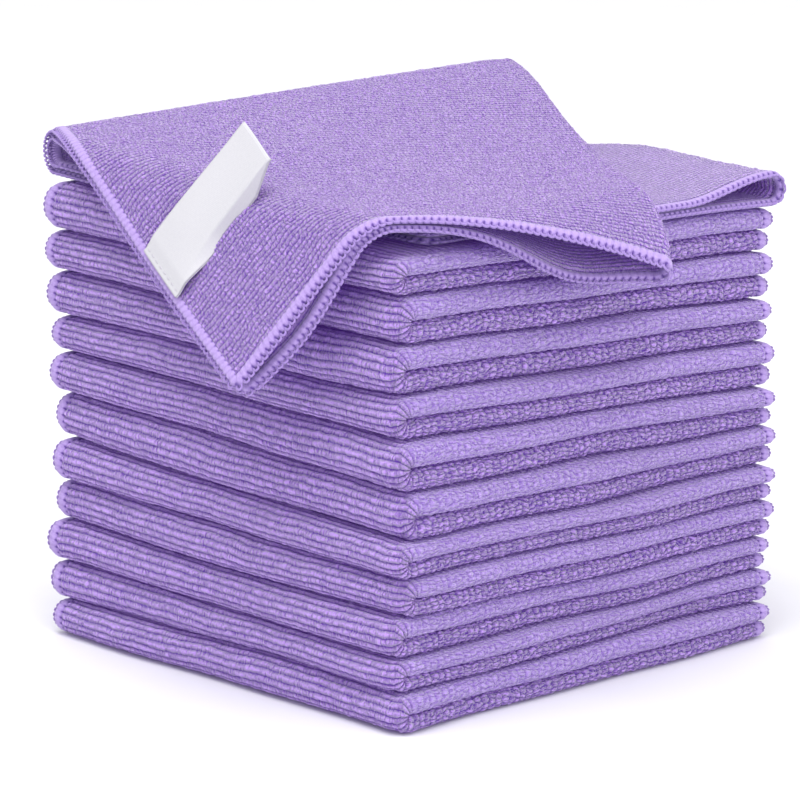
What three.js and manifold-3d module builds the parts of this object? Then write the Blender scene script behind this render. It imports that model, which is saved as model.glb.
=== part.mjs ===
// A pile of quick-dry microfibre cloths: eleven square cloths folded in quarters and stacked,
// with a twelfth on top whose loose upper half is turned, so that two of its corners hang over
// the pile. Millimetres, +Z up, origin at the centre of the bottom face.
import * as THREE from "three";
import { mergeVertices } from "three/addons/utils/BufferGeometryUtils.js";
import Module from "manifold-3d";

const wasm = await Module();
wasm.setup();

// ---- driving dimensions ----
const foldedSide = 150; // a 300 mm cloth folded in quarters
const towelHeights = [11.0, 9.7, 11.2, 11.5, 10.8, 12.5, 12.5, 11.9, 12.8, 13.0, 12.4]; // bottom to top
const towelShiftX = [0, -0.8, -1.2, 1.2, 2.2, 1.2, 0.6, 0, -1.1, -1.2, -0.4];
const towelShiftY = [0, 0.6, -0.4, 0.3, -0.7, 0.7, -0.2, 0.6, -0.5, 0.2, -0.6];
const restGap = 0.3; // between pieces that rest on or touch each other
const cornerRadius = 7; // plan radius where the two folds meet
const hemWidth = 4.6; // overlocked edge, across
const hemSlack = 0.5; // between one hem and the next one folded over it
const lowerHalfHeight = 5; // the top cloth's lower two layers, pressed flat
const openFold = { height: 9, run: 35 }; // its first fold stands open at the back
const upperHalfHeight = 4.5; // its loose upper two layers
const flapHemGap = 0.6; // between the loose half and its own hem, over the bends
const flapLoft = 2.8; // air under the loose half
const creaseFrontInset = [-2, 6]; // the top cloth's second fold, from the pile's front left corner
const creaseBackInset = [33, 1]; // and from its back left corner
const flapTurn = 29; // degrees that the loose half is turned by
const backTakeUp = 7; // cloth that the fold takes from the loose half's width at the crease
const frontTakeUp = 19; // and from its length along the hem, down to the hanging corner
const lowerCornerRun = 14; // where the lower half's front hem leaves the crease
const creaseLift = { front: 4.5, back: 14, fade: 64 }; // how far the springy fold holds the cloth up
const frontBend = { radius: 13, angle: 66 }; // over the pile's front edge
const sideBend = { radius: 44, angle: 51 }; // over its right edge
const bendInset = 4; // the bend starts this far inside the pile's edge
const flapSag = 4; // the far side settles by this much
const labelWidth = 20.5;
const labelLength = 47;
const labelThickness = 0.8; // the doubled care label
const labelFromCrease = 71.5; // along the hem
const labelInset = 3.5; // its sewn end lies this far over the hem
const stitchWidth = 1.2; // the row of stitches that holds the label
const stitchHeight = 0.4;
const arcSteps = 5; // spans round half a turn of a hem

const half = foldedSide / 2;
const creaseFront = [-half + creaseFrontInset[0], -half + creaseFrontInset[1]];
const creaseBack = [-half + creaseBackInset[0], half - creaseBackInset[1]];
const flapReach = foldedSide - frontTakeUp;
const flapBack = foldedSide - backTakeUp;
const radians = THREE.MathUtils.degToRad;
const colours = { towel: 0x9b7bc8, hem: 0xa98bd6, label: 0xf1eff4, thread: 0xe6e2ee };

function material(name, roughness = 0.95) {
  return new THREE.MeshStandardMaterial({ color: colours[name], roughness, metalness: 0 });
}

// ---- solids ----
function solidOf(geometry) {
  const g = geometry.clone();
  g.deleteAttribute("normal");
  g.deleteAttribute("uv");
  const merged = mergeVertices(g, 1e-4);
  return new wasm.Manifold(
    new wasm.Mesh({
      numProp: 3,
      vertProperties: merged.attributes.position.array,
      triVerts: new Uint32Array(merged.index.array),
    }),
  );
}

function geometryOf(solid) {
  const mesh = solid.getMesh();
  const stride = mesh.numProp;
  const points = new Float32Array(mesh.numVert * 3);
  for (let i = 0; i < mesh.numVert; i++) {
    points.set(mesh.vertProperties.subarray(i * stride, i * stride + 3), i * 3);
  }
  return new THREE.BufferGeometry()
    .setAttribute("position", new THREE.BufferAttribute(points, 3))
    .setIndex(new THREE.BufferAttribute(mesh.triVerts, 1));
}

function namedMesh(name, geometry, finish) {
  geometry.computeVertexNormals();
  const mesh = new THREE.Mesh(geometry, finish);
  mesh.name = name;
  return mesh;
}

const extrusion = { bevelEnabled: false, curveSegments: 8 };

// A profile drawn in (x, z), pushed along Y from y0 to y1.
function alongY(shape, y0, y1) {
  const g = new THREE.ExtrudeGeometry(shape, { ...extrusion, depth: y1 - y0 });
  return solidOf(g.rotateX(Math.PI / 2).translate(0, y1, 0));
}

// A profile drawn in (y, z), pushed along X from x0 to x1.
function alongX(shape, x0, x1) {
  const g = new THREE.ExtrudeGeometry(shape, { ...extrusion, depth: x1 - x0 });
  const turn = new THREE.Matrix4().makeBasis(
    new THREE.Vector3(0, 1, 0),
    new THREE.Vector3(0, 0, 1),
    new THREE.Vector3(1, 0, 0),
  );
  return solidOf(g.applyMatrix4(turn).translate(x0, 0, 0));
}

function alongZ(shape, height) {
  return solidOf(new THREE.ExtrudeGeometry(shape, { ...extrusion, depth: height }));
}

// A band of rectangular section through a list of stations, each four corners in order.
function band(stations, closed) {
  const points = stations.flat();
  const faces = [];
  const count = stations.length;
  const spans = closed ? count : count - 1;
  for (let i = 0; i < spans; i++) {
    const a = i * 4;
    const b = ((i + 1) % count) * 4;
    for (let k = 0; k < 4; k++) {
      const m = (k + 1) % 4;
      faces.push(a + k, a + m, b + m, a + k, b + m, b + k);
    }
  }
  if (!closed) {
    const e = (count - 1) * 4;
    faces.push(0, 2, 1, 0, 3, 2, e, e + 1, e + 2, e, e + 2, e + 3);
  }
  const g = new THREE.BufferGeometry().setFromPoints(points);
  return g.setIndex(faces);
}

// ---- a quarter-folded towel ----
// Two first folds show one over the other at +X, and one second fold wraps them at -Y.
function foldedTowel(height) {
  const foldReach = height / 2;
  const lobeReach = height / 4;
  const start = -half + hemWidth + restGap;
  const side = new THREE.Shape();
  side.moveTo(start, 0);
  side.lineTo(half - lobeReach, 0);
  side.absarc(half - lobeReach, height / 4, height / 4, -Math.PI / 2, Math.PI / 2, false);
  side.absarc(half - lobeReach, (height * 3) / 4, height / 4, -Math.PI / 2, Math.PI / 2, false);
  side.lineTo(start, height);
  const front = new THREE.Shape();
  const end = half - hemWidth - restGap;
  front.moveTo(end, 0);
  front.lineTo(end, height);
  front.lineTo(-half + foldReach, height);
  front.absarc(-half + foldReach, height / 2, height / 2, Math.PI / 2, (Math.PI * 3) / 2, false);
  const plan = new THREE.Shape();
  plan.moveTo(-half, -half);
  plan.lineTo(half - cornerRadius, -half);
  plan.absarc(half - cornerRadius, -half + cornerRadius, cornerRadius, -Math.PI / 2, 0, false);
  plan.lineTo(half, half);
  plan.lineTo(-half, half);
  return alongY(side, -half, half)
    .intersect(alongX(front, -half, half))
    .intersect(alongZ(plan, height));
}

// The overlocked edge of the whole cloth as it runs round the folded towel: four layers deep on
// the two open sides, wrapping each fold as it passes.
function foldedHem(height) {
  const pitch = height / 4;
  const thick = pitch - hemSlack;
  const inner = -half + hemWidth / 2;
  const outer = half - hemWidth / 2;
  const layer = (i) => pitch * (i + 0.5);
  const stations = [];
  const put = (x, y, z, w, n) => {
    const p = new THREE.Vector3(x, y, z);
    const across = new THREE.Vector3(...w).multiplyScalar(hemWidth / 2);
    const up = new THREE.Vector3(...n).multiplyScalar(thick / 2);
    stations.push([
      p.clone().sub(across).add(up),
      p.clone().add(across).add(up),
      p.clone().add(across).sub(up),
      p.clone().sub(across).sub(up),
    ]);
  };
  const corner = (i, n) => put(inner, outer, layer(i), [-1, 1, 0], [0, 0, n]);
  // along +Y and round a first fold at +X, from layer i to the one above
  const firstFold = (i) => {
    const radius = pitch / 2;
    const cx = half - height / 4;
    for (let k = 0; k <= arcSteps; k++) {
      const t = (Math.PI * k) / arcSteps;
      const [s, c] = [Math.sin(t), Math.cos(t)];
      put(cx + radius * s, outer, layer(i) + radius - radius * c, [0, 1, 0], [s, 0, -c]);
    }
  };
  // along -X and round the second fold at -Y
  const secondFold = (from, to, facing) => {
    const radius = (layer(to) - layer(from)) / 2;
    const mid = (layer(to) + layer(from)) / 2;
    const cy = -half + height / 2;
    const steps = arcSteps + 1;
    for (let k = 0; k <= steps; k++) {
      const t = (Math.PI * k) / steps;
      const [s, c] = [Math.sin(t), Math.cos(t)];
      const reach = Math.abs(radius) * s;
      put(inner, cy - reach, mid - radius * c, [-1, 0, 0], [0, facing * -s, facing * -c * Math.sign(radius)]);
    }
  };
  corner(0, -1);
  firstFold(0);
  corner(1, 1);
  secondFold(1, 2, -1);
  corner(2, -1);
  firstFold(2);
  corner(3, 1);
  secondFold(3, 0, 1);
  return band(stations, true);
}

// ---- the top towel ----
const pileTop = towelHeights.reduce((sum, h) => sum + h, 0) + restGap * (towelHeights.length - 1);
const lowerHalfBase = pileTop + restGap;
const lowerHalfTop = lowerHalfBase + lowerHalfHeight;
const plateau = lowerHalfTop + restGap + flapLoft + upperHalfHeight;
const crease = new THREE.Vector2(creaseBack[0] - creaseFront[0], creaseBack[1] - creaseFront[1]);
const creaseLength = crease.length();
const creaseDirection = crease.clone().normalize();
const creaseNormal = new THREE.Vector2(creaseDirection.y, -creaseDirection.x);
const hemDirection = new THREE.Vector2(Math.cos(radians(flapTurn)), -Math.sin(radians(flapTurn)));
const awayDirection = new THREE.Vector2(-hemDirection.y, hemDirection.x);
const lowerMid = lowerHalfBase + Math.max(lowerHalfHeight, upperHalfHeight) / 2;

function bend(run, { radius, angle }) {
  const limit = radius * radians(angle);
  const turned = Math.min(run, limit);
  const straight = Math.max(run - limit, 0);
  return {
    out: radius * Math.sin(turned / radius) + straight * Math.cos(radians(angle)),
    down: radius * (1 - Math.cos(turned / radius)) + straight * Math.sin(radians(angle)),
  };
}

function creaseHeight(along) {
  const share = THREE.MathUtils.clamp(along / creaseLength, 0, 1);
  return creaseLift.front + (creaseLift.back - creaseLift.front) * share;
}

// The flap's upper surface over a point of the flat, turned cloth.
function flapTop(x, y) {
  const dx = x - creaseFront[0];
  const dy = y - creaseFront[1];
  const distance = dx * creaseNormal.x + dy * creaseNormal.y;
  const along = dx * creaseDirection.x + dy * creaseDirection.y;
  const settled = THREE.MathUtils.clamp((x + y + foldedSide) / (2 * foldedSide), 0, 1);
  let z = plateau + creaseHeight(along) * Math.exp(-((Math.max(distance, 0) / creaseLift.fade) ** 2));
  z -= flapSag * settled ** 2;
  const frontRun = Math.max(0, -(y + half - bendInset));
  const sideRun = Math.max(0, x - half + bendInset);
  const front = bend(frontRun, frontBend);
  const side = bend(sideRun, sideBend);
  return new THREE.Vector3(x - sideRun + side.out, y + frontRun - front.out, z - front.down - side.down);
}

// A point of the loose half: u runs along the front hem from the crease, v away from that hem,
// and h is the height over the cloth's upper surface.
function flapPoint(u, v, h) {
  const x = creaseFront[0] + hemDirection.x * u + awayDirection.x * v;
  const y = creaseFront[1] + hemDirection.y * u + awayDirection.y * v;
  const step = 0.05;
  const p = flapTop(x, y);
  const ex = flapTop(x + step, y).sub(p);
  const ey = flapTop(x, y + step).sub(p);
  return p.addScaledVector(ex.cross(ey).normalize(), h);
}

// where the crease lies, as u for a given v
function creaseAt(v) {
  return (-v * awayDirection.dot(creaseNormal)) / hemDirection.dot(creaseNormal);
}

// A point of the roll below the crease: part runs from 0 at the crease to 1 at the lower half.
function rollPoint(v, part, h) {
  const along = creaseAt(v) * hemDirection.dot(creaseDirection) + v * awayDirection.dot(creaseDirection);
  const foot = new THREE.Vector2(...creaseFront).addScaledVector(creaseDirection, along);
  const top = flapTop(foot.x, foot.y).z - upperHalfHeight / 2;
  const radius = (top - lowerMid) / 2;
  const reach = radius + upperHalfHeight / 2 + h;
  foot.addScaledVector(creaseNormal, -reach * Math.sin(part * Math.PI));
  return new THREE.Vector3(foot.x, foot.y, lowerMid + radius + reach * Math.cos(part * Math.PI));
}

const flapFar = foldedSide - restGap;
const rollSteps = 7;
const rollOverlap = 3; // the roll runs on into the lower half, which it is part of
const creaseGap = restGap / hemDirection.dot(creaseNormal);

function upperHalf() {
  const rows = 16;
  const spans = 22;
  const near = hemWidth + flapHemGap;
  const top = [];
  const bottom = [];
  const end = flapReach - hemWidth - flapHemGap;
  for (let j = 0; j <= rows; j++) {
    for (let i = 0; i <= spans; i++) {
      const far = flapBack + (flapFar - flapBack) * (i / spans);
      const v = near + ((far - near) * j) / rows;
      const start = creaseAt(v) + creaseGap;
      const u = start + (end - start) * (i / spans);
      top.push(flapPoint(u, v, 0));
      bottom.push(flapPoint(u, v, -upperHalfHeight));
    }
  }
  return slab(top, bottom, spans + 1);
}

// The second fold: the cloth leaves the crease, rolls over and comes back under as the lower half.
function creaseRoll() {
  const rows = 8;
  const near = hemWidth + flapHemGap;
  const inside = creaseNormal.clone().multiplyScalar(rollOverlap);
  const top = [];
  const bottom = [];
  for (let j = 0; j <= rows; j++) {
    const v = near + ((flapBack - near) * j) / rows;
    const end = [rollPoint(v, 1, 0), rollPoint(v, 1, -upperHalfHeight)];
    end.forEach((p) => p.add(new THREE.Vector3(inside.x, inside.y, 0)));
    top.push(end[0]);
    bottom.push(end[1]);
    for (let i = rollSteps; i >= 0; i--) {
      top.push(rollPoint(v, i / rollSteps, 0));
      bottom.push(rollPoint(v, i / rollSteps, -upperHalfHeight));
    }
  }
  return slab(top, bottom, rollSteps + 2);
}

// A closed plate between two grids of points, given row by row.
function slab(top, bottom, columns) {
  const rows = top.length / columns;
  const shift = top.length;
  const faces = [];
  const quad = (a, b, c, d) => faces.push(a, b, c, a, c, d);
  for (let j = 0; j < rows - 1; j++) {
    for (let i = 0; i < columns - 1; i++) {
      const a = j * columns + i;
      quad(a, a + 1, a + columns + 1, a + columns);
      quad(a + shift, a + shift + columns, a + shift + columns + 1, a + shift + 1);
    }
  }
  for (let i = 0; i < columns - 1; i++) {
    const far = (rows - 1) * columns + i;
    quad(i, i + shift, i + 1 + shift, i + 1);
    quad(far, far + 1, far + 1 + shift, far + shift);
  }
  for (let j = 0; j < rows - 1; j++) {
    const a = j * columns;
    const b = a + columns - 1;
    quad(a, a + columns, a + columns + shift, a + shift);
    quad(b, b + shift, b + columns + shift, b + columns);
  }
  return new THREE.BufferGeometry().setFromPoints([...top, ...bottom]).setIndex(faces);
}

// The stations of a pair of hems that runs over the upper layer, round the fold at its far end,
// and back along the lower layer. place puts a station, shifted across and up, in space.
function pairHem(route, place, thickness) {
  const pitch = thickness / 2;
  const thick = pitch - hemSlack;
  const stations = [];
  const put = (s, lift, up, forward) => {
    const at = (across, side) => {
      const shift = (side * thick) / 2;
      return place(s, (across * hemWidth) / 2, lift + shift * up, shift * forward);
    };
    stations.push([at(-1, 1), at(1, 1), at(1, -1), at(-1, -1)]);
  };
  const upper = (s) => (s.rise || 0) - pitch / 2;
  const lower = -pitch * 1.5;
  route.forEach((s) => put(s, upper(s), 1, 0));
  const last = route[route.length - 1];
  const radius = (upper(last) - lower) / 2;
  for (let k = 1; k < arcSteps; k++) {
    const t = (Math.PI * k) / arcSteps;
    const [sin, cos] = [Math.sin(t), Math.cos(t)];
    put({ ...last, reach: radius * sin }, lower + radius * (1 + cos), cos, sin);
  }
  [...route].reverse().forEach((s) => put(s, lower, -1, 0));
  return stations;
}

function placeOnFlap(s, across, h, forward) {
  const v = s.v + s.across[1] * across + (s.reach || 0) + forward;
  const u = s.u === undefined ? creaseAt(v) + creaseGap : s.u + s.across[0] * across;
  return flapPoint(u, v, h);
}

function upperHem() {
  const near = hemWidth / 2;
  const far = flapReach - hemWidth / 2;
  const frontSteps = 22;
  const sideSteps = 20;
  const route = [{ v: near, across: [0, -1] }];
  for (let k = 1; k < frontSteps; k++) route.push({ u: (far * k) / frontSteps, v: near, across: [0, -1] });
  route.push({ u: far, v: near, across: [1, -1] });
  const fold = flapFar - upperHalfHeight / 2;
  for (let k = 1; k <= sideSteps; k++) {
    route.push({ u: far, v: near + ((fold - near) * k) / sideSteps, across: [1, 0] });
  }
  return band(pairHem(route, placeOnFlap, upperHalfHeight), false);
}

// The hem of one layer as it goes round the second fold, from the crease down.
function rolledHem(depth, facing) {
  const thick = upperHalfHeight / 2 - hemSlack;
  const stations = [];
  for (let k = 0; k <= rollSteps; k++) {
    const at = (across, side) => {
      const v = hemWidth / 2 - (across * hemWidth) / 2;
      return rollPoint(v, k / rollSteps, depth + (facing * side * thick) / 2);
    };
    stations.push([at(-1, 1), at(1, 1), at(1, -1), at(-1, -1)]);
  }
  return stations;
}

// plan position of the crease's edge on the lower half, for a given y
function lowerCreaseX(y) {
  const share = (y - creaseFront[1]) / (creaseBack[1] - creaseFront[1]);
  return creaseFront[0] + (creaseBack[0] - creaseFront[0]) * share;
}

function lowerHalf() {
  const radius = openFold.height / 2;
  const profile = new THREE.Shape();
  profile.moveTo(-half, 0);
  profile.lineTo(half - radius, 0);
  profile.absarc(half - radius, radius, radius, -Math.PI / 2, Math.PI / 2, false);
  profile.lineTo(half - openFold.run, lowerHalfHeight);
  profile.lineTo(-half, lowerHalfHeight);
  const plan = new THREE.Shape();
  const right = half - hemWidth - restGap;
  const nearCrease = creaseFront[1] + hemWidth + flapHemGap;
  plan.moveTo(lowerCreaseX(nearCrease), nearCrease);
  plan.lineTo(creaseFront[0] + lowerCornerRun, -half + hemWidth + restGap);
  plan.lineTo(right, -half + hemWidth + restGap);
  plan.lineTo(right, half);
  plan.lineTo(lowerCreaseX(half), half);
  const plate = alongX(profile, -foldedSide, half).intersect(alongZ(plan, openFold.height));
  return plate.translate([0, 0, lowerHalfBase]).add(solidOf(creaseRoll()));
}

function lowerHem() {
  const y = -half + hemWidth / 2;
  const x = half - hemWidth / 2;
  const fold = half - openFold.height / 2;
  const rise = openFold.height - lowerHalfHeight;
  const route = [
    { x: creaseFront[0] + lowerCornerRun, y, across: [0, -1] },
    { x, y, across: [1, -1] },
    { x, y: half - openFold.run, across: [1, 0] },
    { x, y: fold, across: [1, 0], rise },
  ];
  const place = (s, across, h, forward) =>
    new THREE.Vector3(
      s.x + s.across[0] * across,
      s.y + s.across[1] * across + (s.reach || 0) + forward,
      lowerHalfTop + h,
    );
  const pitch = upperHalfHeight / 2;
  const inner = rolledHem(-1.5 * pitch, -1);
  const outer = rolledHem(-0.5 * pitch, 1).reverse();
  return band([...inner, ...pairHem(route, place, lowerHalfHeight), ...outer], false);
}

// ---- the care label and the stitching that holds it ----
// The label is stiffer than the cloth: it stands straight off the slope that it is sewn to.
function labelPoint(u, length, h) {
  const foot = flapPoint(u, labelInset, h);
  const next = flapPoint(u, labelInset + 1, h);
  return foot.addScaledVector(next.sub(foot).normalize(), length);
}

function labelPlate(from, to, start, end, h, thickness, rows) {
  const top = [];
  const bottom = [];
  const columns = 3;
  for (let j = 0; j <= rows; j++) {
    const length = start + ((end - start) * j) / rows;
    for (let i = 0; i < columns; i++) {
      const u = from + ((to - from) * i) / (columns - 1);
      top.push(labelPoint(u, length, h + thickness));
      bottom.push(labelPoint(u, length, h));
    }
  }
  return slab(top, bottom, columns);
}

function careLabel() {
  const end = labelFromCrease + labelWidth;
  return labelPlate(labelFromCrease, end, 0, labelLength, restGap, labelThickness, 4);
}

function labelStitching() {
  const from = labelFromCrease + stitchWidth;
  const to = labelFromCrease + labelWidth - stitchWidth;
  const base = restGap + labelThickness + restGap;
  return labelPlate(from, to, stitchWidth, stitchWidth * 2, base, stitchHeight, 1);
}

// ---- assembly ----
const group = new THREE.Group();
const towelFinish = material("towel");
const hemFinish = material("hem", 0.8);

let base = 0;
towelHeights.forEach((height, i) => {
  const number = String(i + 1).padStart(2, "0");
  const pair = new THREE.Group();
  pair.position.set(towelShiftX[i], towelShiftY[i], base);
  pair.add(namedMesh("towel_" + number, geometryOf(foldedTowel(height)), towelFinish));
  pair.add(namedMesh("hem_" + number, foldedHem(height), hemFinish));
  group.add(pair);
  base += height + restGap;
});

group.add(namedMesh("top_towel_lower_half", geometryOf(lowerHalf()), towelFinish));
group.add(namedMesh("top_hem_lower", lowerHem(), hemFinish));
group.add(namedMesh("top_towel_upper_half", upperHalf(), towelFinish));
group.add(namedMesh("top_hem_upper", upperHem(), hemFinish));
group.add(namedMesh("care_label", careLabel(), material("label", 0.6)));
group.add(namedMesh("label_stitching", labelStitching(), material("thread", 0.7)));

export default group;
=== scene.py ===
import math

import bpy
import numpy as np
from mathutils.geometry import delaunay_2d_cdt
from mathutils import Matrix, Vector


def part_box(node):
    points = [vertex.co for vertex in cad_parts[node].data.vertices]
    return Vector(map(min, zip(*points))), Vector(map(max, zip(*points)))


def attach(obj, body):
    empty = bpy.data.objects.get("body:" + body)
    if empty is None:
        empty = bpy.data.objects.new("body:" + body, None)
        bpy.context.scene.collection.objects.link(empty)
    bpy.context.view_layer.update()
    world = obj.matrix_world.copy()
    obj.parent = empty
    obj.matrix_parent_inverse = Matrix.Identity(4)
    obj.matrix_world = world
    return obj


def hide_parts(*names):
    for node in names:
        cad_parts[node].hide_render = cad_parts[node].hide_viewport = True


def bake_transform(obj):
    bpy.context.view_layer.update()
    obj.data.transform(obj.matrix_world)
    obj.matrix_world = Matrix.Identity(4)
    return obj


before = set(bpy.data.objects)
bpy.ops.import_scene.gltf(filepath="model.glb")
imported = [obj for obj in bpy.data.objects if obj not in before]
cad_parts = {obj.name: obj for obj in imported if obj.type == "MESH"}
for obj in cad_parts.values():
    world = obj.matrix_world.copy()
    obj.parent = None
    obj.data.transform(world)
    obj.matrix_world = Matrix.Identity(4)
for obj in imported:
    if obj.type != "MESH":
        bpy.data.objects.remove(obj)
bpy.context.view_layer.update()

# A pile of twelve microfibre cloths. Each cloth is laid out flat, knitted and overlocked there,
# and then folded. Lengths are in millimetres until a mesh is made.
metre = 1000.0


def linearColour(code):
    # an sRGB hex value as linear light
    parts = [int(code[i:i + 2], 16) / 255 for i in (1, 3, 5)]
    return [c / 12.92 if c <= 0.04045 else ((c + 0.055) / 1.055) ** 2.4 for c in parts] + [1.0]


def addNode(tree, kind, settings=None, inputs=None):
    # inputs go by name or number, or in their order as a tuple
    # each is a value, a socket, or a node whose first output is meant
    node = tree.nodes.new(kind)
    for name, value in (settings or {}).items():
        setattr(node, name, value)
    named = dict(enumerate(inputs)) if isinstance(inputs, tuple) else inputs or {}
    for key, value in named.items():
        if isinstance(value, bpy.types.Node):
            value = value.outputs[0]
        if isinstance(value, bpy.types.NodeSocket):
            tree.links.new(value, node.inputs[key])
        else:
            node.inputs[key].default_value = value
    return node


# ---- the knit ----
knit = {
    "ribPitch": 2.4,        # mm between ribs
    "loopPitch": 1.8,       # mm between loops along a rib
    "ribSamples": 5,        # mesh steps across a rib where the pile is modelled
    "loopSamples": 4,
    "ribDepth": 0.95,       # mm from a rib's crown to the groove
    "grooveOfRibs": (1.0, 0.5),     # depth of the grooves between ribs: flat, and round the first fold
    "grooveOfLoops": (0.16, 1.0),   # the same for the gaps between loops, which that fold opens
    "ribCurve": 0.65,       # under 1 the crowns are broad and the grooves narrow
    "loopCurve": 0.5,
    "slowStray": (0.13, (1.5, 0.66)),   # how often and how far the knit strays over many loops, in pitches
    "quickStray": (0.9, (0.6, 0.3)),    # the same from loop to loop
    "looser": 1.6,          # how much more it strays where it is opened
    "ribShift": 0.8,        # how far the loops of one rib may sit along from the next rib's
    "tuftSpread": 0.24,     # uneven height from loop to loop
    "clumpScale": 0.8,
    "clumpEdge": (0.4, 0.58),
    "clumpDepth": 0.14,     # how deep the hollows between clumps go, as a share of the pile
    "seedStep": 211.0,      # ribs between one cloth's pattern and the next one's
}


def strayed(tree, vector, scale, amount, share):
    # the vector pushed about by a soft noise, by a share of an amount in its two directions
    noise = addNode(tree, "ShaderNodeTexNoise", {}, {"Vector": vector, "Scale": scale, "Detail": 1.0})
    centred = addNode(tree, "ShaderNodeVectorMath", {"operation": "SUBTRACT"},
                      (noise.outputs["Color"], (0.5, 0.5, 0.5)))
    part = addNode(tree, "ShaderNodeVectorMath", {"operation": "SCALE"}, {0: centred, "Scale": share})
    return addNode(tree, "ShaderNodeVectorMath", {"operation": "MULTIPLY_ADD"},
                   (part, (amount[0], amount[1], 0.0), vector))


def knitHeight(tree, weave, opened, clumped):
    # 1 on the crown of a loop, 0 in a groove; weave is (loops along, ribs across)
    looser = addNode(tree, "ShaderNodeMath", {"operation": "MULTIPLY_ADD"}, (opened, knit["looser"], 1.0))
    slow = strayed(tree, weave, *knit["slowStray"], looser)
    quick = strayed(tree, slow, *knit["quickStray"], looser)
    parts = addNode(tree, "ShaderNodeSeparateXYZ", {}, (quick,))
    along, across = parts.outputs[0], parts.outputs[1]
    ribIndex = addNode(tree, "ShaderNodeMath", {"operation": "FLOOR"}, (across,))
    draw = addNode(tree, "ShaderNodeTexWhiteNoise", {"noise_dimensions": "1D"}, {"W": ribIndex})
    loopAt = addNode(tree, "ShaderNodeMath", {"operation": "MULTIPLY_ADD"},
                     (draw.outputs["Value"], knit["ribShift"], along))
    loopIndex = addNode(tree, "ShaderNodeMath", {"operation": "FLOOR"}, (loopAt,))
    factors = []
    for place, curve, depths in ((across, knit["ribCurve"], knit["grooveOfRibs"]),
                                 (loopAt, knit["loopCurve"], knit["grooveOfLoops"])):
        angle = addNode(tree, "ShaderNodeMath", {"operation": "MULTIPLY"}, (place, math.pi))
        wave = addNode(tree, "ShaderNodeMath", {"operation": "SINE"}, (angle,))
        arch = addNode(tree, "ShaderNodeMath", {"operation": "ABSOLUTE"}, (wave,))
        curved = addNode(tree, "ShaderNodeMath", {"operation": "POWER"}, (arch, curve))
        low = addNode(tree, "ShaderNodeMath", {"operation": "SUBTRACT"}, (1.0, curved))
        deep = addNode(tree, "ShaderNodeMath", {"operation": "MULTIPLY_ADD"},
                       (opened, depths[1] - depths[0], depths[0]))
        groove = addNode(tree, "ShaderNodeMath", {"operation": "MULTIPLY"}, (low, deep))
        factors.append(addNode(tree, "ShaderNodeMath", {"operation": "SUBTRACT"}, (1.0, groove)))
    loopPlace = addNode(tree, "ShaderNodeCombineXYZ", {}, (loopIndex, ribIndex))
    tuft = addNode(tree, "ShaderNodeTexWhiteNoise", {"noise_dimensions": "2D"}, {"Vector": loopPlace})
    factors.append(addNode(tree, "ShaderNodeMath", {"operation": "MULTIPLY_ADD"},
                           (tuft.outputs["Value"], -knit["tuftSpread"], 1.0)))
    # where the cloth lies open the loops lean together in clumps, with hollows between them
    clump = addNode(tree, "ShaderNodeTexNoise", {},
                    {"Vector": weave, "Scale": knit["clumpScale"], "Detail": 2.0})
    hollow = addNode(tree, "ShaderNodeMapRange", {}, (clump.outputs["Fac"], *knit["clumpEdge"], 1.0, 0.0))
    share = addNode(tree, "ShaderNodeMath", {"operation": "MULTIPLY"}, (hollow, clumped))
    sunk = addNode(tree, "ShaderNodeMath", {"operation": "MULTIPLY"}, (share, knit["clumpDepth"]))
    factors.append(addNode(tree, "ShaderNodeMath", {"operation": "SUBTRACT"}, (1.0, sunk)))
    height = factors[0]
    for factor in factors[1:]:
        height = addNode(tree, "ShaderNodeMath", {"operation": "MULTIPLY"}, (height, factor))
    return height


def geometryTree(name, sockets):
    tree = bpy.data.node_groups.new(name, "GeometryNodeTree")
    tree.interface.new_socket("Geometry", in_out="OUTPUT", socket_type="NodeSocketGeometry")
    tree.interface.new_socket("Geometry", in_out="INPUT", socket_type="NodeSocketGeometry")
    for label, kind, value in sockets:
        made = tree.interface.new_socket(label, in_out="INPUT", socket_type=kind)
        if value is not None:
            made.default_value = value
    return tree, addNode(tree, "NodeGroupInput"), addNode(tree, "NodeGroupOutput")


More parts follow.
